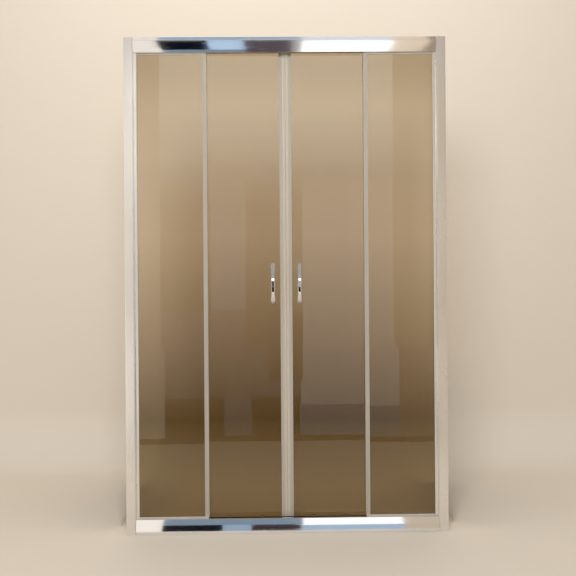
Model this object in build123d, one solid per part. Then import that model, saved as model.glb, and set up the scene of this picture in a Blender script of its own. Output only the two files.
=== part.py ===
from build123d import *
import os

# Alcove shower screen: two fixed glass side panels, two sliding glass doors that meet in the middle.
# Millimetres. X runs along the opening, -Y is the outside, +Z is up. The origin is on the floor,
# at the centre of the sill rail's underside. Sections of upright pieces are drawn in (u, Y), where
# u is the distance from the centre line, and built on the right (+X) side, then mirrored.

# overall
WIDTH = 1200.0              # wall to wall
HEIGHT = 1850.0
BASE_DEPTH = 34.0           # front strip of the rails to their back edge
WALL = 1.8                  # profile wall

# wall profiles and the side profiles that slide in them
CHANNEL_FACE = 33.0         # front face of the wall profile, wall to lip
CHANNEL_WEB = 2.0
SIDE_FACE = 36.0            # wall to the side profile's web
SIDE_REACH = 26.0           # flanges of the side profile, back into the wall profile
NEST_GAP = 0.3              # between the two profiles
NOSE_REACH = 9.0            # glass pocket lips beyond the web
NOTCH_GAP = 0.3             # nose to the rails
CHANNEL_EDGE_R = 1.0

# head rail and sill rail, one section; h is measured from the rail's outer edge
RAIL_H = 56.0
RAIL_WEB = 2.0              # wall along the outer edge
STRIP_H = 12.0              # flat strip beside the raised cover
COVER_RISE = 8.0            # cover stands in front of the strip
COVER_LEAN = 11.8           # the cover leans back over its height
COVER_BOW = 1.2
POCKET_H = 20.0             # depth of the glass pocket
TRACK_H = 30.0              # outer edge to the track ledge
RIB_H = 4.0                 # rib on the ledge, towards the outer edge
RIB_T = 1.8
DRIP_LIP_H = 3.0
DRIP_LIP_T = 1.6

# glass
FIXED_T = 5.0
FIXED_Y = -3.0              # outer face of the fixed panels
DOOR_T = 5.0
DOOR_Y = 18.0               # outer face of the doors
GLASS_CHAMFER = 0.6
GLASS_SEAT = 2.0            # gasket under the edge of a fixed panel
SIDE_SEAT = 2.5
FIXED_EDGE = 295.0          # free edge of a fixed panel
DOOR_LEAD = 10.0            # leading edge of a door, doors closed
DOOR_TRAIL = 308.0
DOOR_TOP_H = 16.0           # door's top edge below the top of the screen
DOOR_FOOT = 24.0            # door's bottom edge above the floor

# gaskets and seals
GASKET_T = 2.0
GASKET_PROUD = 6.0          # head and foot gaskets past the rails
SIDE_GASKET_PROUD = 2.0
SEAL_T = 1.2
SEAL_FIN_T = 1.4
SEAL_END_GAP = 0.3
OVERLAP_GRIP = 14.0         # overlap seal on the fixed panel
OVERLAP_FIN = 11.5          # fin behind the fixed panel's inner face
OVERLAP_HOOK = 6.0
TRAIL_GRIP = 12.0
TRAIL_FIN = 11.0            # fin in front of the door
TRAIL_HOOK = 6.0
MEET_GAP = 0.5              # between the doors, closed
MEET_GRIP = 12.5
MAGNET_WALL = 1.1
MAGNET_FIT = 0.1
MAGNET_BACK = 2.2
MEET_END = 2.0              # meeting seal short of the glass, top and bottom
DRIP_GRIP = 8.0
DRIP_FIN = 10.0
DRIP_END_GAP = 0.5

# top rollers
ROLLER_U = (100.0, 221.0)    # roller places from the centre line, doors closed
ROLLER_HUB_H = 33.0         # hub below the top of the screen
TWIN_OFFSET = 14.0          # wheel either side of the hub
TOP_WHEEL_R = 12.0
TOP_ROOT_R = 10.0
WHEEL_W = 6.0
WHEEL_GAP = 0.3             # tread to rib
WHEEL_SIDE_GAP = 0.4
GROOVE_W = 2.6
GROOVE_FLARE = 0.6
TOP_PIN_R = 3.0
PIN_FIT = 0.05
PIN_HEAD_T = 0.8
PIN_HEAD_RIM = 1.4
BRACKET_T = 2.6
BRACKET_RIM = 8.0
HUB_RIM = 12.0
HUB_R = 6.0
HUB_HOLE_GAP = 0.5
CAP_R = 13.0
CAP_T = 8.0
CAP_SKIN = 3.5
CAP_FIT = 0.1
CAP_SLOT_W = 2.2
CAP_SLOT_D = 1.5

# bottom rollers with quick release
FOOT_WHEEL_R = 9.0
FOOT_ROOT_R = 7.5
FOOT_PIN_R = 2.5
RELEASE = 4.0               # travel of the button
FOOT_HUB_Z = 44.0
SLEEVE_R = 8.7
SLEEVE_HOLE_GAP = 0.3
LEG_W = 10.0
LEG_T = 2.6
LEG_TOP = 5.0               # leg above the hub
LEG_TOE = 6.0               # leg round the axle
LEG_SIDE_GAP = 0.4
ARM_W = 8.0
ARM_H = 4.0
ARM_GAP = 0.4
CHEEK_W = 3.6
HOUSING_FOOT_Z = 28.0
HOUSING_TOP_Z = 52.0
WINDOW_W = 5.2
WINDOW_TOP = 4.0            # window's top edge below the hub
LEDGE_W = 4.4
LEDGE_H = 2.0
STOP_GAP = 0.3
DISC_R = 11.0
DISC_T = 3.0
BUTTON_W = 15.0
BUTTON_H = 10.0
BUTTON_T = 5.6
BUTTON_GAP = 0.4
SPRING_R = 1.65             # mean coil radius
SPRING_WIRE = 0.6

# end stops of the doors
TRAVEL = 230.0
STOP_L = 12.0
STOP_RUN = 0.5              # wheel to stop at the end of the travel
STOP_DEPTH = 8.2

# handles
HANDLE_U = 50.0
HANDLE_Z = 930.0
HANDLE_L = 154.0
HANDLE_PITCH = 136.0        # hole to hole
HANDLE_END_W = 18.0
HANDLE_WAIST_W = 13.0
HANDLE_WAIST_Z = 40.0
HANDLE_MID_W = 15.6
HANDLE_OUT = 37.0           # washer to the front of the bow
HANDLE_BAR = 9.0
HANDLE_FOOT = 20.0          # length of each foot on its washer
HANDLE_EDGE_R = 3.0
WASHER_R = 8.5
WASHER_T = 1.0
STUD_R = 3.0
STUD_FIT = 0.05
STUD_DEPTH = 10.0
STUD_HOLE_GAP = 1.0

# screws
WALL_HOLE_R = 2.75
WALL_PITCHES = (1550.0, 550.0)
PORT_R = 3.4
PORT_BORE_R = 1.85
PORT_INSET = 2.9            # bore centre to the wall that carries the port
PORT_Y = -7.0               # outer port
RAIL_SCREW_R = 1.8
RAIL_SCREW_L = 25.0
RAIL_SCREW_HOLE_GAP = 0.3
PROFILE_SCREW_R = 1.75
PROFILE_SCREW_L = 9.0
PROFILE_SCREW_U = 20.0      # from the wall
PROFILE_SCREW_PITCH = 625.0
PROFILE_PILOT_R = 1.85
PROFILE_HOLE_R = 2.1
SCREW_HEAD_R = 3.6
SCREW_HEAD_T = 2.3
COVER_CAP_R = 5.6
COVER_CAP_WALL = 1.2

# places that follow from the sizes above
HALF = WIDTH / 2
STRIP_Y = -BASE_DEPTH / 2
BACK_Y = BASE_DEPTH / 2
COVER_Y = STRIP_Y - COVER_RISE
POCKET_Y0 = FIXED_Y - GASKET_T
POCKET_Y1 = FIXED_Y + FIXED_T + GASKET_T
TRACK_Y = POCKET_Y1 + WALL                              # front wall of the wheel track
DOOR_BACK = DOOR_Y + DOOR_T
PLATE_Y0 = DOOR_Y - 0.8 - BRACKET_T                     # bracket plate and leg, outer face
WHEEL_Y1 = PLATE_Y0 - WHEEL_SIDE_GAP
WHEEL_Y0 = WHEEL_Y1 - WHEEL_W
WHEEL_Y = (WHEEL_Y0 + WHEEL_Y1) / 2
RIB_TIP_H = TRACK_H - RIB_H
TOP_AXLE_Z = HEIGHT - RIB_TIP_H + WHEEL_GAP + TOP_ROOT_R
FOOT_AXLE_Z = RIB_TIP_H - WHEEL_GAP - FOOT_ROOT_R
HUB_Z = HEIGHT - ROLLER_HUB_H
SIDE_U = HALF - SIDE_FACE                               # side profile's web, rail ends
FIXED_OUT = SIDE_U - SIDE_SEAT
SLOT_FLOOR_H = RAIL_H - POCKET_H
FIXED_H = SLOT_FLOOR_H + GLASS_SEAT
SEAL_Z0 = RAIL_H + GASKET_PROUD + SEAL_END_GAP
SEAL_Z1 = HEIGHT - SEAL_Z0
PORTS = ((PORT_Y, RAIL_WEB + PORT_INSET),
         (POCKET_Y1 - PORT_INSET, SLOT_FLOOR_H - WALL - PORT_INSET))
PROFILE_SCREW_Z = tuple(HEIGHT / 2 + k * PROFILE_SCREW_PITCH for k in (-1, 0, 1))
SIDES = {"left": -1, "right": 1}


def box2(x0, y0, x1, y1):
    """Rectangle between two corners."""
    return Pos((x0 + x1) / 2, (y0 + y1) / 2) * Rectangle(x1 - x0, y1 - y0)


def block(x0, x1, y0, y1, z0, z1):
    return Pos((x0 + x1) / 2, (y0 + y1) / 2, (z0 + z1) / 2) * Box(x1 - x0, y1 - y0, z1 - z0)


def upright(section, z0, z1):
    """Section drawn in (X, Y), run from z0 to z1."""
    return extrude(Pos(0, 0, z0) * section, z1 - z0, dir=(0, 0, 1))


def along_x(section, x0, x1):
    """Section drawn in (Y, Z), run from x0 to x1."""
    return extrude(Pos(x0, 0, 0) * (Plane.YZ * section), x1 - x0, dir=(1, 0, 0))


def along_y(section, y0, y1):
    """Section drawn in (X, Z), run from y0 to y1."""
    return extrude(Pos(0, y0, 0) * (Plane((0, 0, 0), x_dir=(1, 0, 0), z_dir=(0, -1, 0)) * section),
                   y1 - y0, dir=(0, 1, 0))


def round_y(radius, y0, y1, x=0.0, z=0.0):
    """Cylinder along Y."""
    return along_y(Pos(x, z) * Circle(radius), y0, y1)


def round_x(radius, x0, x1, y, z):
    """Cylinder along X."""
    return along_x(Pos(y, z) * Circle(radius), x0, x1)


def corners(face, points):
    """Vertices of a flat face at the given points."""
    return [min(face.vertices(), key=lambda v: (v.X - x) ** 2 + (v.Y - y) ** 2) for x, y in points]


def sided(shape, side):
    """A piece built on the right, put on its side of the screen."""
    return shape if side > 0 else mirror(shape, about=Plane.YZ)


# ---------------------------------------------------------------- frame

def wall_channel():
    """U profile fixed to the wall, mouth towards the opening."""
    lip = HALF - CHANNEL_FACE
    face = box2(lip, STRIP_Y, HALF, BACK_Y) - box2(lip - 1, STRIP_Y + WALL, HALF - CHANNEL_WEB, BACK_Y - WALL)
    face = fillet(corners(face, [(lip, STRIP_Y), (lip, BACK_Y)]), CHANNEL_EDGE_R)
    part = upright(face, 0, HEIGHT)
    for pitch in WALL_PITCHES:
        for k in (-1, 1):
            part -= round_x(WALL_HOLE_R, HALF - CHANNEL_WEB - 1, HALF + 1, 0, HEIGHT / 2 + k * pitch / 2)
    for z in PROFILE_SCREW_Z:
        part -= round_y(PROFILE_HOLE_R, BACK_Y - WALL - 1, BACK_Y + 1, HALF - PROFILE_SCREW_U, z)
    return part


def side_profile():
    """U profile nested in the wall profile, with the pocket that holds the fixed panel."""
    y0, y1 = STRIP_Y + WALL + NEST_GAP, BACK_Y - WALL - NEST_GAP
    back = SIDE_U + SIDE_REACH
    face = box2(SIDE_U, y0, back, y1) - box2(SIDE_U + WALL, y0 + WALL, back + 1, y1 - WALL)
    face = fillet(corners(face, [(SIDE_U, y0), (SIDE_U, y1)]), WALL * 0.7)
    part = upright(face, 0, HEIGHT)
    nose = SIDE_U - NOSE_REACH
    lips = box2(nose, POCKET_Y0 - WALL, SIDE_U + WALL / 2, POCKET_Y0)
    lips += box2(nose, POCKET_Y1, SIDE_U + WALL / 2, POCKET_Y1 + WALL)
    part += upright(lips, RAIL_H + NOTCH_GAP, HEIGHT - RAIL_H - NOTCH_GAP)
    for y, h in PORTS:
        for z in (h, HEIGHT - h):
            part -= round_x(RAIL_SCREW_R + RAIL_SCREW_HOLE_GAP, SIDE_U - 1, SIDE_U + WALL + 1, y, z)
    for z in PROFILE_SCREW_Z:
        part -= round_y(PROFILE_PILOT_R, y1 - WALL - 1, y1 + 1, HALF - PROFILE_SCREW_U, z)
    return part


def rail_section():
    """Rail in (Y, h): raised cover in front, glass pocket, then the wheel track with its rib."""
    step = COVER_Y + COVER_LEAN
    rib_y0, rib_y1 = WHEEL_Y - RIB_T / 2, WHEEL_Y + RIB_T / 2
    cover = make_face([
        Line((STRIP_Y, 0), (STRIP_Y, STRIP_H)), Line((STRIP_Y, STRIP_H), (COVER_Y, STRIP_H)),
        SagittaArc((COVER_Y, STRIP_H), (step, RAIL_H), COVER_BOW),
        Line((step, RAIL_H), (TRACK_Y, RAIL_H)), Line((TRACK_Y, RAIL_H), (TRACK_Y, 0)),
        Line((TRACK_Y, 0), (STRIP_Y, 0))])
    cover = fillet(corners(cover, [(COVER_Y, STRIP_H), (step, RAIL_H)]), WALL * 0.6)
    inner, top = step + WALL * 1.15, RAIL_H - WALL
    y0 = POCKET_Y0 - WALL
    hollow = make_face([
        Line((STRIP_Y + WALL, RAIL_WEB), (STRIP_Y + WALL, STRIP_H + WALL)),
        Line((STRIP_Y + WALL, STRIP_H + WALL), (COVER_Y + WALL, STRIP_H + WALL)),
        SagittaArc((COVER_Y + WALL, STRIP_H + WALL), (inner, top), COVER_BOW),
        Line((inner, top), (y0, top)), Line((y0, top), (y0, SLOT_FLOOR_H - WALL)),
        Line((y0, SLOT_FLOOR_H - WALL), (POCKET_Y1, SLOT_FLOOR_H - WALL)),
        Line((POCKET_Y1, SLOT_FLOOR_H - WALL), (POCKET_Y1, RAIL_WEB)),
        Line((POCKET_Y1, RAIL_WEB), (STRIP_Y + WALL, RAIL_WEB))])
    pocket = box2(POCKET_Y0, SLOT_FLOOR_H, POCKET_Y1, RAIL_H + 1)
    section = cover - hollow - pocket
    section += box2(TRACK_Y - WALL / 2, 0, BACK_Y, RAIL_WEB)
    section += box2(BACK_Y - DRIP_LIP_T, 0, BACK_Y, DRIP_LIP_H)
    section += box2(TRACK_Y - WALL / 2, TRACK_H, rib_y1, TRACK_H + WALL)
    section += box2(rib_y0, RIB_TIP_H, rib_y1, TRACK_H + WALL)
    for y, h in PORTS:
        section += Pos(y, h) * Circle(PORT_R)
    for y, h in PORTS:
        section -= Pos(y, h) * Circle(PORT_BORE_R)
    return section


def sill_rail():
    return along_x(rail_section(), -SIDE_U, SIDE_U)


def head_rail():
    return Pos(0, 0, HEIGHT) * mirror(sill_rail(), about=Plane.XY)


def fixed_glass():
    pane = block(FIXED_EDGE, FIXED_OUT, FIXED_Y, FIXED_Y + FIXED_T, FIXED_H, HEIGHT - FIXED_H)
    return chamfer(pane.edges().filter_by(Axis.Y, reverse=True), GLASS_CHAMFER)


def side_gasket():
    """Channel gasket on the wall-side edge of a fixed panel."""
    lip = SIDE_U - NOSE_REACH - SIDE_GASKET_PROUD
    face = box2(lip, POCKET_Y0, SIDE_U, POCKET_Y1) - box2(lip - 1, FIXED_Y, FIXED_OUT, FIXED_Y + FIXED_T)
    face = fillet(corners(face, [(lip, POCKET_Y0), (lip, POCKET_Y1)]), GASKET_T * 0.45)
    z0 = RAIL_H + GASKET_PROUD
    return upright(face, z0, HEIGHT - z0)


def rail_gaskets():
    """Channel gaskets on the foot and the head of a fixed panel."""
    top = RAIL_H + GASKET_PROUD
    face = box2(POCKET_Y0, SLOT_FLOOR_H, POCKET_Y1, top) - box2(FIXED_Y, FIXED_H, FIXED_Y + FIXED_T, top + 1)
    face = fillet(corners(face, [(POCKET_Y0, top), (POCKET_Y1, top)]), GASKET_T * 0.45)
    foot = along_x(face, FIXED_EDGE, SIDE_U)
    return foot, Pos(0, 0, HEIGHT) * mirror(foot, about=Plane.XY)


def overlap_seal():
    """Seal on the free edge of a fixed panel; its hooked fin reaches back towards the door."""
    u0, y1 = FIXED_EDGE - SEAL_FIN_T, FIXED_Y + FIXED_T
    fin = y1 + OVERLAP_FIN
    face = box2(u0, FIXED_Y - SEAL_T, FIXED_EDGE + OVERLAP_GRIP, y1 + SEAL_T)
    face -= box2(FIXED_EDGE, FIXED_Y, FIXED_EDGE + OVERLAP_GRIP + 1, y1)
    face += box2(u0, y1, u0 + SEAL_FIN_T, fin)
    face += box2(u0, fin - SEAL_FIN_T, FIXED_EDGE + OVERLAP_HOOK, fin)
    return upright(face, SEAL_Z0, SEAL_Z1)


def rail_screws():
    """Self-tapping screws through the side profile into the rails' screw ports."""
    u = SIDE_U + WALL
    made = []
    for y, h in PORTS:
        for z in (h, HEIGHT - h):
            head = round_x(SCREW_HEAD_R, u, u + SCREW_HEAD_T, y, z)
            head = chamfer(head.edges().group_by(Axis.X)[-1], SCREW_HEAD_T * 0.4)
            made.append(head + round_x(RAIL_SCREW_R, u - RAIL_SCREW_L, u + SCREW_HEAD_T / 2, y, z))
    return made


def profile_screws():
    """Screws that lock the side profile in the wall profile, from the inside of the enclosure."""
    made = []
    for z in PROFILE_SCREW_Z:
        u = HALF - PROFILE_SCREW_U
        head = round_y(SCREW_HEAD_R, BACK_Y, BACK_Y + SCREW_HEAD_T, u, z)
        head = chamfer(head.edges().group_by(Axis.Y)[-1], SCREW_HEAD_T * 0.4)
        made.append(head + round_y(PROFILE_SCREW_R, BACK_Y - PROFILE_SCREW_L, BACK_Y + SCREW_HEAD_T / 2, u, z))
    return made


def screw_caps():
    """Snap-on covers over the profile screws."""
    top = BACK_Y + SCREW_HEAD_T + COVER_CAP_WALL
    made = []
    for z in PROFILE_SCREW_Z:
        u = HALF - PROFILE_SCREW_U
        cap = round_y(COVER_CAP_R, BACK_Y, top, u, z)
        cap = fillet(cap.edges().group_by(Axis.Y)[-1], COVER_CAP_WALL * 0.8)
        made.append(cap - round_y(COVER_CAP_R - COVER_CAP_WALL, BACK_Y - 1, BACK_Y + SCREW_HEAD_T, u, z))
    return made


def door_stops():
    """Buffers clipped over the track rib at both ends of a door's travel."""
    rib_y0, rib_y1 = WHEEL_Y - RIB_T / 2, WHEEL_Y + RIB_T / 2
    face = box2(TRACK_Y, RAIL_WEB, TRACK_Y + STOP_DEPTH, TRACK_H)
    face -= box2(rib_y0, RIB_TIP_H, rib_y1, TRACK_H + 1)
    face = Pos(0, HEIGHT) * mirror(face, about=Plane.XZ)
    reach = TWIN_OFFSET + TOP_WHEEL_R + STOP_RUN
    outer = max(ROLLER_U) + reach + TRAVEL
    inner = min(ROLLER_U) - reach
    return [along_x(face, outer, outer + STOP_L), along_x(face, inner - STOP_L, inner)]


# ---------------------------------------------------------------- doors

def door_glass():
    pane = block(DOOR_LEAD, DOOR_TRAIL, DOOR_Y, DOOR_BACK, DOOR_FOOT, HEIGHT - DOOR_TOP_H)
    pane = chamfer(pane.edges().filter_by(Axis.Y, reverse=True), GLASS_CHAMFER)
    holes = [(u, HUB_Z, HUB_R + HUB_HOLE_GAP) for u in ROLLER_U]
    holes += [(u, FOOT_HUB_Z, SLEEVE_R + SLEEVE_HOLE_GAP) for u in ROLLER_U]
    holes += [(HANDLE_U, HANDLE_Z + k * HANDLE_PITCH / 2, STUD_R + STUD_HOLE_GAP) for k in (-1, 1)]
    for u, z, r in holes:
        pane -= round_y(r, DOOR_Y - 1, DOOR_BACK + 1, u, z)
    return pane


def meeting_seal():
    """Magnetic seal profile on the leading edge: chamber, then two legs that grip the glass."""
    u0, u1 = MEET_GAP / 2, DOOR_LEAD
    y0, y1 = DOOR_Y - SEAL_T, DOOR_BACK + SEAL_T
    face = box2(u0, y0, u1 + MEET_GRIP, y1) - box2(u1, DOOR_Y, u1 + MEET_GRIP + 1, DOOR_BACK)
    face = chamfer(corners(face, [(u0, y0), (u0, y1)]), MAGNET_WALL)
    face -= box2(u0 + MAGNET_WALL, y0 + MAGNET_WALL, u1 - MAGNET_BACK, y1 - MAGNET_WALL)
    return upright(face, DOOR_FOOT + MEET_END, HEIGHT - DOOR_TOP_H - MEET_END)


def meeting_magnet():
    gap = MAGNET_WALL + MAGNET_FIT
    face = box2(MEET_GAP / 2 + gap, DOOR_Y - SEAL_T + gap, DOOR_LEAD - MAGNET_BACK - MAGNET_FIT,
                DOOR_BACK + SEAL_T - gap)
    return upright(face, DOOR_FOOT + MEET_END, HEIGHT - DOOR_TOP_H - MEET_END)


def trailing_seal():
    """Seal on the trailing edge; its hooked fin reaches forward, outside the fixed panel's fin."""
    u1 = DOOR_TRAIL + SEAL_FIN_T
    fin = DOOR_Y - TRAIL_FIN
    face = box2(DOOR_TRAIL - TRAIL_GRIP, DOOR_Y - SEAL_T, u1, DOOR_BACK + SEAL_T)
    face -= box2(DOOR_TRAIL - TRAIL_GRIP - 1, DOOR_Y, DOOR_TRAIL, DOOR_BACK)
    face += box2(u1 - SEAL_FIN_T, fin, u1, DOOR_Y)
    face += box2(DOOR_TRAIL - TRAIL_HOOK, fin, u1, fin + SEAL_FIN_T)
    return upright(face, SEAL_Z0, SEAL_Z1)


def drip_seal():
    """Seal on the foot of a door, notched round the bottom rollers."""
    z0, z1 = DOOR_FOOT - SEAL_T, DOOR_FOOT + DRIP_GRIP
    mid = (DOOR_Y + DOOR_BACK) / 2
    face = box2(DOOR_Y - SEAL_T, z0, DOOR_BACK + SEAL_T, z1) - box2(DOOR_Y, DOOR_FOOT, DOOR_BACK, z1 + 1)
    face += box2(mid - SEAL_FIN_T / 2, z0 - DRIP_FIN, mid + SEAL_FIN_T / 2, z0 + SEAL_T / 2)
    part = along_x(face, DOOR_LEAD + MEET_GRIP + DRIP_END_GAP, DOOR_TRAIL)
    half = LEG_W / 2 + LEG_SIDE_GAP + CHEEK_W + DRIP_END_GAP
    for u in ROLLER_U:
        part -= block(u - half, u + half, DOOR_Y - SEAL_T - 1, DOOR_Y + DRIP_END_GAP, z0 - 1, z1 + 1)
    return part


def groove(radius, root):
    """Half section of a grooved wheel's rim, in (radius, Y)."""
    y0, y1 = WHEEL_Y - GROOVE_W / 2, WHEEL_Y + GROOVE_W / 2
    return make_face(Polyline((root, y0), (radius + 1, y0 - GROOVE_FLARE), (radius + 1, y1 + GROOVE_FLARE),
                              (root, y1), close=True))


def wheel(radius, root, bore, x, z):
    """Grooved nylon wheel on the Y axis, with a shallow recess in each side."""
    hub, rim, deep = bore + (root - bore) * 0.3, bore + (root - bore) * 0.8, WHEEL_W * 0.12
    half = box2(bore, WHEEL_Y0, radius, WHEEL_Y1) - groove(radius, root)
    half -= box2(hub, WHEEL_Y0 - 1, rim, WHEEL_Y0 + deep)
    half -= box2(hub, WHEEL_Y1 - deep, rim, WHEEL_Y1 + 1)
    return Pos(x, 0, z) * revolve(half, axis=Axis.Y)


def pin(radius, x, z):
    """Axle pin with a riveted head, from the plate out through a wheel."""
    head = WHEEL_Y0 - WHEEL_SIDE_GAP
    shank = round_y(radius, head, PLATE_Y0 + 0.5, x, z)
    return shank + round_y(radius + PIN_HEAD_RIM, head - PIN_HEAD_T, head, x, z)


def top_bracket(u):
    """Twin-wheel plate with its hub, which passes through the glass."""
    outline = Pos(u, HUB_Z) * Circle(HUB_RIM)
    outline += Pos(u - TWIN_OFFSET, TOP_AXLE_Z) * Circle(BRACKET_RIM)
    outline += Pos(u + TWIN_OFFSET, TOP_AXLE_Z) * Circle(BRACKET_RIM)
    plate = along_y(make_hull(outline.edges()), PLATE_Y0, PLATE_Y0 + BRACKET_T)
    plate += round_y(HUB_RIM - 1, PLATE_Y0 + BRACKET_T / 2, DOOR_Y, u, HUB_Z)
    plate += round_y(HUB_R, DOOR_Y - 0.5, DOOR_BACK + CAP_T - CAP_SKIN, u, HUB_Z)
    for k in (-1, 1):
        plate += pin(TOP_PIN_R, u + k * TWIN_OFFSET, TOP_AXLE_Z)
    return plate


def roller_cap(u):
    """Slotted cap nut on the inside of the door."""
    cap = round_y(CAP_R, DOOR_BACK, DOOR_BACK + CAP_T, u, HUB_Z)
    cap = fillet(cap.edges().group_by(Axis.Y)[-1], CAP_T * 0.3)
    cap -= round_y(HUB_R + CAP_FIT, DOOR_BACK - 1, DOOR_BACK + CAP_T - CAP_SKIN + CAP_FIT, u, HUB_Z)
    y1 = DOOR_BACK + CAP_T
    return cap - block(u - CAP_R, u + CAP_R, y1 - CAP_SLOT_D, y1 + 1, HUB_Z - CAP_SLOT_W / 2, HUB_Z + CAP_SLOT_W / 2)


LEG_Z1 = FOOT_HUB_Z + LEG_TOP
WINDOW_Z1 = FOOT_HUB_Z - WINDOW_TOP
ARM_Z = FOOT_HUB_Z + RELEASE / 2                        # arm's centre at rest
PLATE_Y1 = PLATE_Y0 + LEG_T


def release_housing(u):
    """Body of a bottom roller: guide for the leg, sleeve through the glass, disc on the inside."""
    wide = LEG_W / 2 + LEG_SIDE_GAP
    y0 = PLATE_Y0 + 0.2
    guide = block(u - wide - CHEEK_W, u + wide + CHEEK_W, y0, DOOR_Y, HOUSING_FOOT_Z, HOUSING_TOP_Z)
    guide = fillet(guide.edges().filter_by(Axis.Y), CHEEK_W * 0.6)
    guide -= block(u - wide, u + wide, y0 - 1, PLATE_Y1 + LEG_SIDE_GAP, HOUSING_FOOT_Z - 1, LEG_Z1 + LEG_SIDE_GAP)
    guide -= block(u - WINDOW_W / 2, u + WINDOW_W / 2, y0 - 1, DOOR_Y + 1, HOUSING_FOOT_Z + LEDGE_H, WINDOW_Z1)
    guide += block(u - LEDGE_W / 2, u + LEDGE_W / 2, y0, DOOR_Y, HOUSING_FOOT_Z, HOUSING_FOOT_Z + LEDGE_H)
    guide += round_y(SLEEVE_R, DOOR_Y, DOOR_BACK + 0.5, u, FOOT_HUB_Z)
    disc = round_y(DISC_R, DOOR_BACK, DOOR_BACK + DISC_T, u, FOOT_HUB_Z)
    guide += chamfer(disc.edges().group_by(Axis.Y)[-1], DISC_T * 0.3)
    side, rise = ARM_W / 2 + ARM_GAP, (ARM_H + RELEASE) / 2 + ARM_GAP
    return guide - block(u - side, u + side, y0 - 1, DOOR_BACK + DISC_T + 1, FOOT_HUB_Z - rise, FOOT_HUB_Z + rise)


def release_carriage(u):
    """Leg with the axle, arm through the sleeve and the button on the inside."""
    leg = box2(u - LEG_W / 2, FOOT_AXLE_Z, u + LEG_W / 2, LEG_Z1) + Pos(u, FOOT_AXLE_Z) * Circle(LEG_TOE)
    leg -= box2(u - WINDOW_W / 2, HOUSING_FOOT_Z - STOP_GAP, u + WINDOW_W / 2, WINDOW_Z1)
    part = along_y(leg, PLATE_Y0, PLATE_Y1)
    y1 = DOOR_BACK + DISC_T + BUTTON_GAP
    part += block(u - ARM_W / 2, u + ARM_W / 2, PLATE_Y1 - 0.5, y1 + 0.5, ARM_Z - ARM_H / 2, ARM_Z + ARM_H / 2)
    button = block(u - BUTTON_W / 2, u + BUTTON_W / 2, y1, y1 + BUTTON_T, ARM_Z - BUTTON_H / 2, ARM_Z + BUTTON_H / 2)
    button = fillet(button.edges().filter_by(Axis.Y), BUTTON_H * 0.25)
    button = fillet(button.edges().group_by(Axis.Y)[-1], BUTTON_T * 0.25)
    return part + button + pin(FOOT_PIN_R, u, FOOT_AXLE_Z)


def release_spring(u):
    """Compression spring between the housing's ledge and the top of the leg's window, as its outer form."""
    y = (PLATE_Y0 + PLATE_Y1) / 2
    z0, z1 = HOUSING_FOOT_Z + LEDGE_H, WINDOW_Z1
    ring = Circle(SPRING_R + SPRING_WIRE / 2) - Circle(SPRING_R - SPRING_WIRE / 2)
    return upright(Pos(u, y) * ring, z0, z1)


def handle_front():
    """Outline of a handle seen from the front, in (X, Z) about its centre."""
    end, waist, mid = HANDLE_END_W / 2, HANDLE_WAIST_W / 2, HANDLE_MID_W / 2
    top, w = HANDLE_L / 2, HANDLE_WAIST_Z
    tip = top - end
    right = Spline((end, -tip), (waist, -w), (mid, 0), (waist, w), (end, tip), tangents=((0, 1), (0, 1)))
    left = Spline((-end, tip), (-waist, w), (-mid, 0), (-waist, -w), (-end, -tip), tangents=((0, -1), (0, -1)))
    return make_face([right, ThreePointArc((end, tip), (0, top), (-end, tip)), left,
                      ThreePointArc((-end, -tip), (0, -top), (end, -tip))])


def handle_side():
    """Bow of a handle seen from the side, in (Y, Z); its feet lie on Y = 0."""
    half, foot = HANDLE_L / 2, HANDLE_L / 2 - HANDLE_FOOT
    lift = 2.0
    return make_face([
        ThreePointArc((-lift, -half), (-HANDLE_OUT, 0), (-lift, half)), Line((-lift, half), (0, half)),
        Line((0, half), (0, foot)), ThreePointArc((0, foot), (HANDLE_BAR - HANDLE_OUT, 0), (0, -foot)),
        Line((0, -foot), (0, -half)), Line((0, -half), (-lift, -half))])


def outer_handle():
    """Cast bow handle, blind-tapped at each foot."""
    bow = along_x(handle_side(), -HANDLE_END_W, HANDLE_END_W)
    bow &= along_y(handle_front(), -HANDLE_OUT - 1, 1)
    bow = fillet(bow.edges().filter_by(lambda e: e.bounding_box().size.Z > HANDLE_FOOT * 1.5), HANDLE_EDGE_R)
    y = DOOR_Y - WASHER_T
    for k in (-1, 1):
        bow -= round_y(STUD_R + STUD_FIT, -STUD_DEPTH, 1, 0, k * HANDLE_PITCH / 2)
    return Pos(HANDLE_U, y, HANDLE_Z) * bow


def to_inside(shape):
    """The same piece on the inner face of the door."""
    middle = (DOOR_Y + DOOR_BACK) / 2
    return mirror(shape, about=Plane((0, middle, 0), z_dir=(0, 1, 0)))


def handle_washers():
    made = []
    for k in (-1, 1):
        z = HANDLE_Z + k * HANDLE_PITCH / 2
        ring = round_y(WASHER_R, DOOR_Y - WASHER_T, DOOR_Y, HANDLE_U, z)
        ring -= round_y(STUD_R + STUD_FIT * 4, DOOR_Y - WASHER_T - 1, DOOR_Y + 1, HANDLE_U, z)
        made += [ring, to_inside(ring)]
    return made


def handle_studs():
    deep = WASHER_T + STUD_DEPTH - 1
    return [round_y(STUD_R, DOOR_Y - deep, DOOR_BACK + deep, HANDLE_U, HANDLE_Z + k * HANDLE_PITCH / 2)
            for k in (-1, 1)]


# ---------------------------------------------------------------- all pieces

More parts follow.
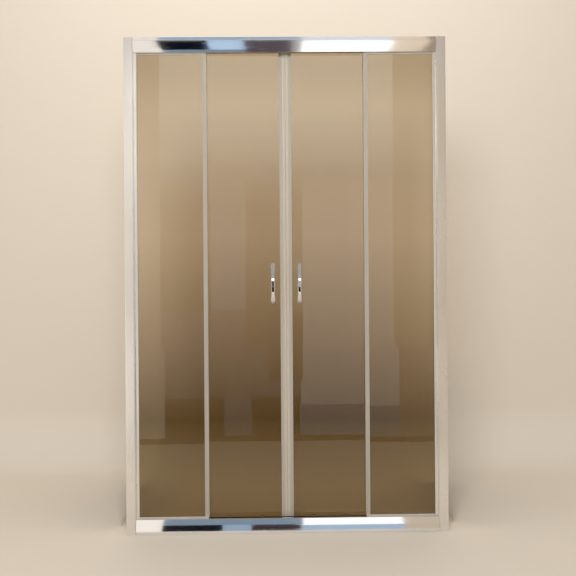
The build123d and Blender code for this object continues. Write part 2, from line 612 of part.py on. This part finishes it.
def build():
    nodes = {"head_rail": head_rail(), "sill_rail": sill_rail()}
    frame = {"wall_profile": wall_channel(), "side_profile": side_profile(), "fixed_glass": fixed_glass(),
             "glazing_gaskets": [side_gasket(), *rail_gaskets()], "overlap_seal": overlap_seal()}
    door = {"door_glass": door_glass(), "meeting_seal": meeting_seal(), "meeting_magnet": meeting_magnet(),
            "trailing_seal": trailing_seal(), "drip_seal": drip_seal(), "outer_handle": outer_handle(),
            "inner_handle": to_inside(outer_handle()), "handle_washers": handle_washers(),
            "handle_studs": handle_studs(), "top_brackets": [top_bracket(u) for u in ROLLER_U],
            "roller_caps": [roller_cap(u) for u in ROLLER_U],
            "release_housings": [release_housing(u) for u in ROLLER_U]}
    for place, u in zip(("lead", "trail"), ROLLER_U):
        for k, letter in ((-1, "a"), (1, "b")):
            door[f"top_wheel_{place}_{letter}"] = wheel(TOP_WHEEL_R, TOP_ROOT_R, TOP_PIN_R + PIN_FIT,
                                                        u + k * TWIN_OFFSET, TOP_AXLE_Z)
        door[f"foot_wheel_{place}"] = wheel(FOOT_WHEEL_R, FOOT_ROOT_R, FOOT_PIN_R + PIN_FIT, u, FOOT_AXLE_Z)
        door[f"release_{place}"] = release_carriage(u)
        door[f"release_spring_{place}"] = release_spring(u)
    for name, side in SIDES.items():
        for node, shape in {**frame, **door}.items():
            many = shape if isinstance(shape, list) else [shape]
            nodes[f"{name}_{node}"] = [sided(s, side) for s in many]
    pairs = {"rail_screws": rail_screws, "profile_screws": profile_screws, "screw_caps": screw_caps,
             "door_stops": door_stops}
    for node, maker in pairs.items():
        nodes[node] = [sided(s, side) for s in maker() for side in SIDES.values()]
    return nodes


os.makedirs("parts", exist_ok=True)
for node, shape in build().items():
    many = shape if isinstance(shape, list) else [shape]
    export_step(many[0] if len(many) == 1 else Compound(children=many), f"parts/{node}.step")
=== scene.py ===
import math

import bmesh
import bpy
from mathutils import Matrix, Vector

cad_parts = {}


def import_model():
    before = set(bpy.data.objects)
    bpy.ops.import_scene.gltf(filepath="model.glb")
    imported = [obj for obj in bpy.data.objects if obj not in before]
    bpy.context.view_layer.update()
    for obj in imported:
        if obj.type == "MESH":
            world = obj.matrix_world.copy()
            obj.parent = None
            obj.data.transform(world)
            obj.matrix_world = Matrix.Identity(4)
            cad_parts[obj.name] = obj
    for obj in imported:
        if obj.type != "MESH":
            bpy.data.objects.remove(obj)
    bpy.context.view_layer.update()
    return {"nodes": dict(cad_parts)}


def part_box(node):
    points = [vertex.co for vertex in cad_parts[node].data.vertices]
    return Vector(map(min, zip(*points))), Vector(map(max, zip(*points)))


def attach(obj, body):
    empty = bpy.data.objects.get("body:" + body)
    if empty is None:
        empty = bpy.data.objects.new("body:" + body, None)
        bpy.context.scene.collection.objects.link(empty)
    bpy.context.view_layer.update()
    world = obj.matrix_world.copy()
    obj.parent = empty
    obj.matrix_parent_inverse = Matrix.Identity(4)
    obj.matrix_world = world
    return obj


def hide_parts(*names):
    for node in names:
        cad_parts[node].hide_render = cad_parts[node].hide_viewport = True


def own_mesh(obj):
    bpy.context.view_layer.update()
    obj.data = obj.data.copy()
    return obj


# Looks of the alcove shower screen. Metres, in the model's own frame: X along the opening,
# -Y outside, +Z up.

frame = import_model()
nodes = frame["nodes"]

# camera: a 45 mm lens without tilt, just left of centre, outside the screen
CAMERA_AT = (-0.0282, -2.7135, 1.1465)
CAMERA_YAW = 0.0133
CAMERA_ROLL = -0.0072
CAMERA_LENS = 45.25
CAMERA_SHIFT_Y = -0.1082

# studio
BACKDROP_Y = 0.85
COVE_R = 0.25
COVE_STEPS = 12
BACKDROP_TOP = 4.5
STUDIO_HALF = 6.0
CARD_Y = -3.25
LOW_CARD_Y = -1.2
HANDLE_CARD_Y = -0.6
FLAG_X, FLAG_FRONT, FLAG_BACK, FLAG_TOP = 0.64, 0.07, 0.50, 0.75
DAYLIGHT = (1.0, 0.96, 0.90)

# Bronze tint of a pane, as the share of light that passes: even for lamps, and for what is seen through it
# by height, as painted shade. Real glass is even; the ramp paints in the alcove's shade, darkest towards the
# floor.
GLASS_TINT = (0.55, 0.46, 0.34)
GLASS_PAINTED_SHADE_RAMP = ((0.15, (0.43, 0.35, 0.20)), (0.42, (0.24, 0.175, 0.085)), (0.75, (0.55, 0.45, 0.32)),
              (1.10, (0.80, 0.70, 0.55)), (1.40, (0.78, 0.69, 0.55)), (1.75, (0.50, 0.42, 0.30)))
GLASS_PAINTED_SHADE_RAMP_TOP = 1.75

# release springs
SPRING_FOOT = 0.0300
SPRING_TOP = 0.0400
SPRING_MEAN_R = 0.00165
SPRING_WIRE_R = 0.00030
SPRING_TURNS = 6.5
SPRING_STEPS = 14            # points in a turn
SPRING_CLOSED = 0.08         # share of the turns that lies flat at each end


# materials

class Recipe:
    """A material's node tree with its Principled shader, and short calls for the nodes it needs."""

    def __init__(self, name, **fixed):
        self.material = bpy.data.materials.new(name)
        self.material.use_nodes = True
        self.tree = self.material.node_tree
        self.shader = self.tree.nodes["Principled BSDF"]
        self.output = self.tree.nodes["Material Output"]
        for socket, value in fixed.items():
            self.shader.inputs[socket.replace("_", " ")].default_value = value

    def node(self, kind, **settings):
        made = self.tree.nodes.new(kind)
        for key, value in settings.items():
            setattr(made, key, value)
        return made

    def link(self, source, target):
        self.tree.links.new(source, target)

    def noise(self, scale, detail=2.0, roughness=0.5, stretch=(1, 1, 1)):
        """Noise in the piece's own coordinates; a small stretch draws it out along that axis."""
        place = self.node("ShaderNodeTexCoord")
        mapping = self.node("ShaderNodeMapping")
        mapping.inputs["Scale"].default_value = stretch
        texture = self.node("ShaderNodeTexNoise")
        texture.inputs["Scale"].default_value = scale
        texture.inputs["Detail"].default_value = detail
        texture.inputs["Roughness"].default_value = roughness
        self.link(place.outputs["Object"], mapping.inputs["Vector"])
        self.link(mapping.outputs["Vector"], texture.inputs["Vector"])
        return texture.outputs["Fac"]

    def spread(self, value, low, high, start=0.3, end=0.7):
        """The value between start and end, spread from low to high."""
        made = self.node("ShaderNodeMapRange")
        for key, number in (("From Min", start), ("From Max", end), ("To Min", low), ("To Max", high)):
            made.inputs[key].default_value = number
        self.link(value, made.inputs["Value"])
        return made.outputs["Result"]

    def colours(self, value, first, second):
        made = self.node("ShaderNodeMix", data_type="RGBA")
        self.link(value, made.inputs["Factor"])
        made.inputs[6].default_value = (*first, 1)
        made.inputs[7].default_value = (*second, 1)
        return made.outputs[2]

    def colour(self, value):
        self.link(value, self.shader.inputs["Base Color"])

    def rough(self, value):
        self.link(value, self.shader.inputs["Roughness"])

    def bump(self, value, height, strength=1.0):
        made = self.node("ShaderNodeBump")
        made.inputs["Strength"].default_value = strength
        made.inputs["Distance"].default_value = height
        self.link(value, made.inputs["Height"])
        already = self.shader.inputs["Normal"].links
        if already:
            self.link(already[0].from_socket, made.inputs["Normal"])
        self.link(made.outputs["Normal"], self.shader.inputs["Normal"])


def rail_metal():
    """Mirror-bright rails: drawn lines along X, soft waves, fine scuffs."""
    r = Recipe("polished_rail", Metallic=1.0)
    smudge = r.noise(9.0, 4.0, 0.6, (0.35, 1, 1))
    lines = r.noise(900.0, 3.0, 0.6, (0.004, 1, 1))
    scuff = r.noise(160.0, 6.0, 0.75, (0.12, 1, 1))
    r.colour(r.colours(r.spread(smudge, 0, 1), (0.90, 0.90, 0.91), (0.82, 0.83, 0.85)))
    rough = r.node("ShaderNodeMath", operation="ADD")
    r.link(r.spread(smudge, 0.035, 0.085), rough.inputs[0])
    r.link(r.spread(scuff, 0.0, 0.11, 0.56, 0.72), rough.inputs[1])
    r.rough(rough.outputs[0])
    r.bump(r.noise(7.0, 2.0, 0.5, (0.5, 1, 1)), 0.00035)
    r.bump(lines, 0.000006)
    return r.material


def profile_metal():
    """Satin-bright wall profiles with drawn lines up their length."""
    r = Recipe("satin_profile", Metallic=1.0)
    smudge = r.noise(5.0, 3.0, 0.6, (1, 1, 0.3))
    lines = r.noise(1100.0, 3.0, 0.6, (1, 1, 0.003))
    r.colour(r.colours(r.spread(smudge, 0, 1), (0.86, 0.84, 0.81), (0.80, 0.78, 0.75)))
    r.rough(r.spread(smudge, 0.20, 0.30))
    r.bump(lines, 0.00001)
    return r.material


def chrome():
    """Plated handles and caps: mirror finish, faint finger marks, a soft wave in the casting."""
    r = Recipe("chrome_plate", Metallic=1.0)
    marks = r.noise(120.0, 3.0, 0.6)
    r.colour(r.colours(r.spread(marks, 0, 1), (0.92, 0.92, 0.93), (0.86, 0.87, 0.89)))
    r.rough(r.spread(marks, 0.02, 0.07))
    r.bump(r.noise(28.0, 1.0), 0.0002)
    return r.material


def steel():
    r = Recipe("brushed_steel", Metallic=1.0)
    grain = r.noise(1400.0, 2.0, 0.6, (1, 1, 0.08))
    r.colour(r.colours(r.spread(grain, 0, 1), (0.66, 0.66, 0.67), (0.54, 0.54, 0.56)))
    r.rough(r.spread(grain, 0.24, 0.38))
    r.bump(grain, 0.00002)
    return r.material


def tinted_glass():
    """Light bronze safety glass, its tint changed by height as painted shade. Lamps shine through it as
    through a tinted film.
    """
    r = Recipe("bronze_glass_painted_shade", IOR=1.5, Transmission_Weight=1.0, Specular_IOR_Level=0.22)
    haze = r.noise(2.2, 3.0, 0.6, (1, 1, 0.5))
    # The bronze tint is the glass's own; its change with height is painted shade and light: darkest near 0.42
    # m, lightest around 1.1 to 1.4 m, darker again at the top.
    place, height = r.node("ShaderNodeTexCoord"), r.node("ShaderNodeSeparateXYZ")
    r.link(place.outputs["Object"], height.inputs["Vector"])
    share = r.node("ShaderNodeMapRange")
    share.inputs["From Max"].default_value = GLASS_PAINTED_SHADE_RAMP_TOP
    r.link(height.outputs["Z"], share.inputs["Value"])
    ramp = r.node("ShaderNodeValToRGB")
    stops = ramp.color_ramp.elements
    stops[0].position, stops[1].position = GLASS_PAINTED_SHADE_RAMP[0][0] / GLASS_PAINTED_SHADE_RAMP_TOP, 1.0
    for z, tint in GLASS_PAINTED_SHADE_RAMP[1:-1]:
        stops.new(z / GLASS_PAINTED_SHADE_RAMP_TOP)
    for stop, (z, tint) in zip(stops, GLASS_PAINTED_SHADE_RAMP):
        stop.color = (*tint, 1)
    r.link(share.outputs["Result"], ramp.inputs["Fac"])
    r.colour(ramp.outputs["Color"])
    r.rough(r.spread(haze, 0.0, 0.012))
    r.bump(r.noise(3.5, 1.0), 0.0002)
    rays = r.node("ShaderNodeLightPath")
    clear = r.node("ShaderNodeBsdfTransparent")
    clear.inputs["Color"].default_value = (*GLASS_TINT, 1)
    mix = r.node("ShaderNodeMixShader")
    r.link(rays.outputs["Is Shadow Ray"], mix.inputs["Fac"])
    r.link(r.shader.outputs["BSDF"], mix.inputs[1])
    r.link(clear.outputs["BSDF"], mix.inputs[2])
    r.link(mix.outputs["Shader"], r.output.inputs["Surface"])
    return r.material


def soft_plastic(name, light, dark, roughness, see_through=0.0, grain=500.0, height=0.00002):
    """Extruded or moulded plastic: slight colour drift and fine grain."""
    r = Recipe(name, IOR=1.46, Transmission_Weight=see_through)
    drift = r.noise(14.0, 3.0, 0.6, (1, 1, 0.25))
    fine = r.noise(grain, 3.0, 0.65)
    r.colour(r.colours(r.spread(drift, 0, 1), light, dark))
    r.rough(r.spread(fine, roughness - 0.06, roughness + 0.08))
    r.bump(fine, height)
    return r.material


FINISHES = {
    "rail": rail_metal(),
    "profile": profile_metal(),
    "chrome": chrome(),
    "steel": steel(),
    "glass": tinted_glass(),
    "seal": soft_plastic("seal_vinyl", (1.0, 0.95, 0.85), (0.96, 0.90, 0.79), 0.36, 0.58),
    "gasket": soft_plastic("gasket_vinyl", (0.62, 0.59, 0.53), (0.54, 0.51, 0.45), 0.42),
    "magnet": soft_plastic("magnet_strip", (0.86, 0.81, 0.71), (0.80, 0.75, 0.65), 0.55),
    "nylon": soft_plastic("nylon", (0.88, 0.88, 0.85), (0.80, 0.80, 0.76), 0.38, 0.05, 900.0),
    "grey": soft_plastic("grey_moulding", (0.36, 0.36, 0.37), (0.29, 0.29, 0.30), 0.42, 0.0, 1400.0, 0.00003),
    "clear": soft_plastic("clear_washer", (0.90, 0.90, 0.88), (0.86, 0.86, 0.83), 0.14, 0.75),
    "buffer": soft_plastic("buffer_rubber", (0.035, 0.035, 0.035), (0.06, 0.06, 0.06), 0.6),
}

ROWS = (
    ("rail", ("head_rail", "sill_rail")),
    ("profile", ("wall_profile", "side_profile")),
    ("chrome", ("outer_handle", "inner_handle", "roller_caps", "screw_caps")),
    ("steel", ("top_brackets", "rail_screws", "profile_screws", "handle_studs", "release_spring")),
    ("glass", ("fixed_glass", "door_glass")),
    ("seal", ("overlap_seal", "meeting_seal", "trailing_seal", "drip_seal")),
    ("gasket", ("glazing_gaskets",)),
    ("magnet", ("meeting_magnet",)),
    ("nylon", ("top_wheel", "foot_wheel")),
    ("grey", ("release_housings", "release_lead", "release_trail")),
    ("clear", ("handle_washers",)),
    ("buffer", ("door_stops",)),
)


def finish_for(name):
    return next(FINISHES[finish] for finish, parts in ROWS if any(part in name for part in parts))


for name, piece in nodes.items():
    piece.data.materials.clear()
    piece.data.materials.append(finish_for(name))


# springs of the bottom rollers, wound

def coil(name, centre):
    """Compression spring with closed ends, as a mesh."""
    curve = bpy.data.curves.new(name, "CURVE")
    curve.dimensions = "3D"
    curve.bevel_depth = SPRING_WIRE_R
    curve.bevel_resolution = 2
    steps = int(SPRING_TURNS * SPRING_STEPS)
    spline = curve.splines.new("POLY")
    spline.points.add(steps)
    low, high = SPRING_FOOT + SPRING_WIRE_R, SPRING_TOP - SPRING_WIRE_R
    for i in range(steps + 1):
        t = i / steps
        turn = 2 * math.pi * SPRING_TURNS * t
        rise = min(max((t - SPRING_CLOSED) / (1 - 2 * SPRING_CLOSED), 0.0), 1.0)
        spline.points[i].co = (centre.x + SPRING_MEAN_R * math.cos(turn),
                               centre.y + SPRING_MEAN_R * math.sin(turn), low + (high - low) * rise, 1)
    holder = bpy.data.objects.new(name + "_path", curve)
    bpy.context.scene.collection.objects.link(holder)
    bpy.context.view_layer.update()
    mesh = bpy.data.meshes.new_from_object(holder.evaluated_get(bpy.context.evaluated_depsgraph_get()))
    bpy.data.objects.remove(holder)
    piece = bpy.data.objects.new(name, mesh)
    bpy.context.scene.collection.objects.link(piece)
    for face in mesh.polygons:
        face.use_smooth = True
    mesh.materials.clear()
    mesh.materials.append(FINISHES["steel"])
    return piece


for side in ("left", "right"):
    for place in ("lead", "trail"):
        node = f"{side}_release_spring_{place}"
        low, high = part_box(node)
        spring = coil(f"{side}_coil_{place}", (low + high) / 2)
        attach(spring, f"{side}_door")
        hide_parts(node)
        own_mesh(spring)


# studio

def plain(name, colour, roughness=0.7, **fixed):
    r = Recipe(name, Roughness=roughness, **fixed)
    r.shader.inputs["Base Color"].default_value = (*colour, 1)
    return r.material


def one_way(material):
    """Clear from behind, so that the backdrop hides nothing from a camera at the back."""
    tree = material.node_tree
    side, clear = tree.nodes.new("ShaderNodeNewGeometry"), tree.nodes.new("ShaderNodeBsdfTransparent")
    mix, output = tree.nodes.new("ShaderNodeMixShader"), tree.nodes["Material Output"]
    tree.links.new(side.outputs["Backfacing"], mix.inputs["Fac"])
    tree.links.new(tree.nodes["Principled BSDF"].outputs["BSDF"], mix.inputs[1])
    tree.links.new(clear.outputs["BSDF"], mix.inputs[2])
    tree.links.new(mix.outputs["Shader"], output.inputs["Surface"])
    return material


def cove():
    """Pale floor that turns up into the backdrop."""
    mesh = bpy.data.meshes.new("studio_cove")
    bm = bmesh.new()
    line = [(-STUDIO_HALF, 0.0), (BACKDROP_Y - COVE_R, 0.0)]
    for i in range(1, COVE_STEPS + 1):
        a = math.pi / 2 * i / COVE_STEPS
        line.append((BACKDROP_Y - COVE_R + COVE_R * math.sin(a), COVE_R - COVE_R * math.cos(a)))
    line.append((BACKDROP_Y, BACKDROP_TOP))
    rows = [[bm.verts.new((x, y, z)) for x in (-STUDIO_HALF, STUDIO_HALF)] for y, z in line]
    for a, b in zip(rows, rows[1:]):
        bm.faces.new((a[0], a[1], b[1], b[0]))
    bm.to_mesh(mesh)
    bm.free()
    piece = bpy.data.objects.new("studio_cove", mesh)
    bpy.context.scene.collection.objects.link(piece)
    for face in mesh.polygons:
        face.use_smooth = True
    mesh.materials.append(one_way(plain("studio_pale", (0.82, 0.755, 0.67), 0.55)))


def card(name, x, z, colour, strength=1.0, y=CARD_Y, fade=None, melt=None):
    """Upright card that only shines back from glossy surfaces. Its light dies away down to fade, or
    the card itself turns clear from melt up to its top."""
    mesh = bpy.data.meshes.new(name)
    mesh.from_pydata([(x[0], y, z[0]), (x[1], y, z[0]), (x[1], y, z[1]), (x[0], y, z[1])], [], [(0, 1, 2, 3)])
    piece = bpy.data.objects.new(name, mesh)
    bpy.context.scene.collection.objects.link(piece)
    material = bpy.data.materials.new(name)
    material.use_nodes = True
    tree = material.node_tree
    tree.nodes.clear()
    glow, output = tree.nodes.new("ShaderNodeEmission"), tree.nodes.new("ShaderNodeOutputMaterial")
    glow.inputs["Color"].default_value = (*colour, 1)
    glow.inputs["Strength"].default_value = strength
    tree.links.new(glow.outputs["Emission"], output.inputs["Surface"])
    if fade is not None or melt is not None:
        place, split = tree.nodes.new("ShaderNodeTexCoord"), tree.nodes.new("ShaderNodeSeparateXYZ")
        grade = tree.nodes.new("ShaderNodeMapRange")
        grade.inputs["From Min"].default_value = melt if fade is None else fade
        grade.inputs["From Max"].default_value = z[1]
        grade.inputs["To Max"].default_value = 1.0 if fade is None else strength
        tree.links.new(place.outputs["Object"], split.inputs["Vector"])
        tree.links.new(split.outputs["Z"], grade.inputs["Value"])
    if fade is not None:
        tree.links.new(grade.outputs["Result"], glow.inputs["Strength"])
    if melt is not None:
        mix, clear = tree.nodes.new("ShaderNodeMixShader"), tree.nodes.new("ShaderNodeBsdfTransparent")
        tree.links.new(grade.outputs["Result"], mix.inputs["Fac"])
        tree.links.new(glow.outputs["Emission"], mix.inputs[1])
        tree.links.new(clear.outputs["BSDF"], mix.inputs[2])
        tree.links.new(mix.outputs["Shader"], output.inputs["Surface"])
    mesh.materials.append(material)
    only_glossy(piece)
    return piece


def only_glossy(piece):
    piece.visible_camera = piece.visible_diffuse = piece.visible_transmission = False
    piece.visible_shadow = piece.visible_volume_scatter = False


def flag(name, x):
    """Black flag behind the screen that only keeps side light away."""
    mesh = bpy.data.meshes.new(name)
    y, z = (FLAG_FRONT, FLAG_BACK), (0.0, FLAG_TOP)
    mesh.from_pydata([(x, y[0], z[0]), (x, y[1], z[0]), (x, y[1], z[1]), (x, y[0], z[1])], [], [(0, 1, 2, 3)])
    piece = bpy.data.objects.new(name, mesh)
    bpy.context.scene.collection.objects.link(piece)
    mesh.materials.append(plain(name, (0.01, 0.01, 0.01)))
    piece.visible_camera = piece.visible_glossy = piece.visible_transmission = False


def lamp(name, at, target, size, power, colour):
    data = bpy.data.lights.new(name, "AREA")
    data.shape = "RECTANGLE"
    data.size, data.size_y = size
    data.energy = power
    data.color = colour
    made = bpy.data.objects.new(name, data)
    bpy.context.scene.collection.objects.link(made)
    made.location = at
    made.rotation_euler = (Vector(target) - Vector(at)).to_track_quat("-Z", "Y").to_euler()
    made.visible_glossy = made.visible_transmission = False


def world():
    made = bpy.data.worlds.new("studio_world")
    bpy.context.scene.world = made
    made.use_nodes = True
    tree = made.node_tree
    background = tree.nodes["Background"]
    background.inputs["Color"].default_value = (0.93, 0.87, 0.80, 1)
    background.inputs["Strength"].default_value = 0.42


cove()
CREAM, BEIGE, BLACK = (0.84, 0.76, 0.67), (0.50, 0.40, 0.30), (0.004, 0.005, 0.010)
BLUE, DUSK, WHITE = (0.36, 0.47, 0.60), (0.10, 0.075, 0.085), (1.0, 0.99, 0.97)

# the room as the head rail and the handles reflect it, far off
card("far_cream", (-2.9, -1.00), (-0.5, 2.75), CREAM, 1.12)
card("far_black", (-1.00, -0.59), (0.45, 1.62), BLACK, melt=1.3)
card("far_blue_low", (-1.00, -0.30), (-0.5, 0.45), BLUE, 0.6)
card("far_blue", (-0.59, -0.30), (0.45, 1.62), BLUE, 1.4, melt=1.3)
card("far_dusk", (-0.30, 0.10), (-0.5, 1.62), DUSK, melt=1.3)
card("far_grey", (0.10, 0.17), (-0.5, 1.62), (0.42, 0.38, 0.36), melt=1.3)
card("far_window", (0.17, 0.92), (-0.5, 1.62), WHITE, 1.4, melt=1.3)
card("far_beige", (0.92, 1.21), (-0.5, 2.75), BEIGE, 1.7)
card("far_tan", (1.21, 2.9), (-0.5, 2.75), (0.40, 0.31, 0.21), 0.9)
card("far_sky", (-1.00, 0.17), (2.60, 3.0), BLUE, 0.9)
card("far_sky_pale", (0.17, 0.92), (2.60, 3.0), (0.75, 0.78, 0.82))

# dark card in front of the handles
card("handle_black", (-0.08, 0.08), (0.43, 0.74), BLACK, y=HANDLE_CARD_Y)

# low cards that only the sill rail faces
card("low_cream", (-1.4, -0.645), (0.0, 0.48), CREAM, 1.2, LOW_CARD_Y)
card("low_black", (-0.645, -0.33), (0.0, 0.215), BLACK, 1.0, LOW_CARD_Y)
card("low_blue", (-0.33, -0.18), (0.0, 0.215), BLUE, 0.85, LOW_CARD_Y)
card("low_dusk", (-0.18, 0.08), (0.03, 0.175), DUSK, 0.4, LOW_CARD_Y)
card("low_slate", (0.08, 0.62), (0.0, 0.17), BLUE, 1.1, LOW_CARD_Y)
card("low_blue_high", (-0.645, 0.09), (0.215, 0.48), BLUE, 0.55, LOW_CARD_Y)
card("low_window", (0.09, 0.62), (0.17, 0.48), WHITE, 1.2, LOW_CARD_Y)
card("low_beige", (0.62, 1.4), (0.0, 0.48), BEIGE, 1.2, LOW_CARD_Y)

# daylight high behind the camera, which hazes the upper glass, and a dark stretch of floor
card("high_window", (-2.45, 2.65), (-0.2, 4.15), (0.98, 0.96, 0.92), 2.6, -10.0, fade=-0.2)
floor_card = card("floor_dark", (-3.0, 3.0), (0.0, 1.9), (0.03, 0.025, 0.02), 1.0, 0.0)
floor_card.matrix_world = Matrix.Translation((0, -1.1, 0.003)) @ Matrix.Rotation(math.pi / 2, 4, "X")
flag("flag_left", -FLAG_X)
flag("flag_right", FLAG_X)
lamp("top", (0, -0.35, 3.1), (0, 0.85, 1.2), (2.6, 0.5), 13, DAYLIGHT)
lamp("key", (-0.35, -3.3, 2.9), (0, 0.0, 0.9), (1.8, 1.2), 88, DAYLIGHT)
world()


# camera

def camera():
    data = bpy.data.cameras.new("camera")
    data.lens = CAMERA_LENS
    data.sensor_width = 36.0
    data.shift_y = CAMERA_SHIFT_Y
    data.clip_end = 50.0
    made = bpy.data.objects.new("camera", data)
    bpy.context.scene.collection.objects.link(made)
    forward = Vector((math.sin(CAMERA_YAW), math.cos(CAMERA_YAW), 0))
    right = Vector((math.cos(CAMERA_YAW), -math.sin(CAMERA_YAW), 0))
    up = right.cross(forward)
    c, s = math.cos(CAMERA_ROLL), math.sin(CAMERA_ROLL)
    across, above = right * c + up * s, up * c - right * s
    turned = Matrix((across, above, -forward)).transposed().to_4x4()
    made.matrix_world = Matrix.Translation(CAMERA_AT) @ turned
    bpy.context.scene.camera = made


camera()
bpy.context.scene.view_settings.view_transform = "Standard"
